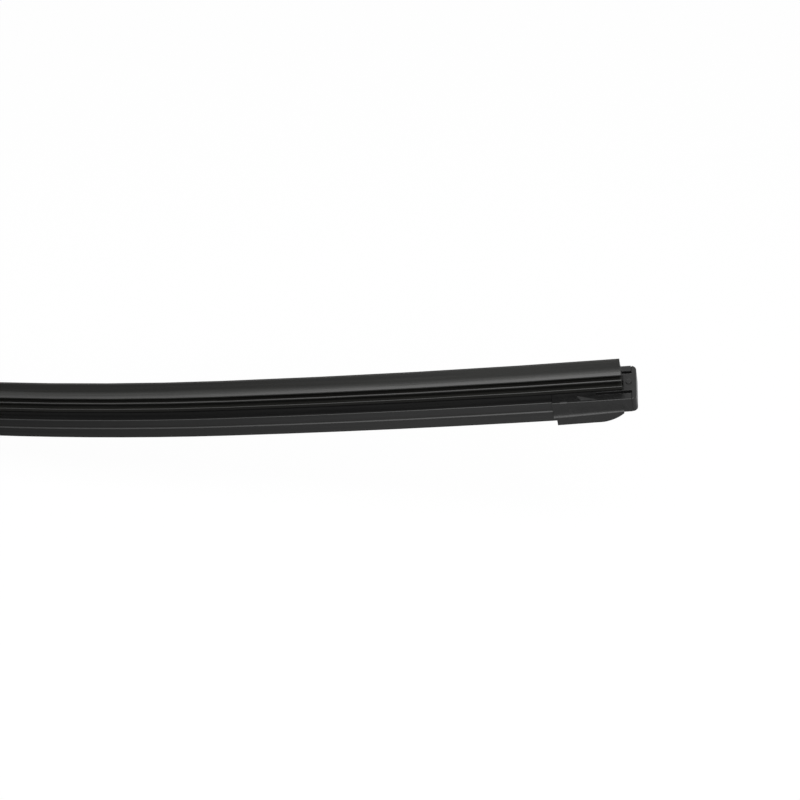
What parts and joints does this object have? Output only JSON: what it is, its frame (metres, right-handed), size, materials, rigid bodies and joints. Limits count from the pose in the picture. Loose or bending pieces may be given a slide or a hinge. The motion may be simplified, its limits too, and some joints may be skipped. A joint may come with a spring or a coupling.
{
  "type": "wiper blade",
  "caption": "Flat bowed wiper blade with a rubber squeegee in an extruded holder with a wind fin, moulded end caps and a pivoting hook-arm connector.",
  "frame": {"origin": "centre of the pivot pin, where the arm's hook wraps around the adapter's nose", "axes": "+X along the blade, +Z from the pivot towards the tip of the rubber lip, +Y along the pivot pin towards the fin's steep side"},
  "size_m": [0.5462, 0.0182, 0.073],
  "materials": {
    "squeegee_rubber": "coated black rubber, satin",
    "holder_plastic": "extruded black, satin",
    "cap_plastic": "moulded black, fine grain",
    "connector_plastic": "moulded black, fine grain",
    "adapter_plastic": "moulded dark grey, fine grain",
    "spring_steel": "rolled spring steel",
    "rivet_steel": "zinc-plated steel"
  },
  "bodies": {
    "blade": {"wiper_rubber": "squeegee_rubber", "spring_strip": "spring_steel", "spoiler_right": "holder_plastic", "spoiler_left": "holder_plastic", "end_cap_right": "cap_plastic", "end_cap_left": "cap_plastic", "connector_base": "connector_plastic", "base_rivets": "rivet_steel", "pivot_pin": "rivet_steel"},
    "adapter": {"arm_adapter": "adapter_plastic"},
    "lock_flap": {"lock_flap": "adapter_plastic"}
  },
  "joints": [
    {"name": "adapter_pivot", "type": "hinge", "parent": "blade", "child": "adapter", "pos_m": [0, 0, 0], "axis": [0, 1, 0], "range_deg": [-12, 12]},
    {"name": "flap_hinge", "type": "hinge", "parent": "adapter", "child": "lock_flap", "pos_m": [-0.0165, 0, 0.0032], "axis": [0, 1, 0], "range_deg": [0, 80]}
  ]
}
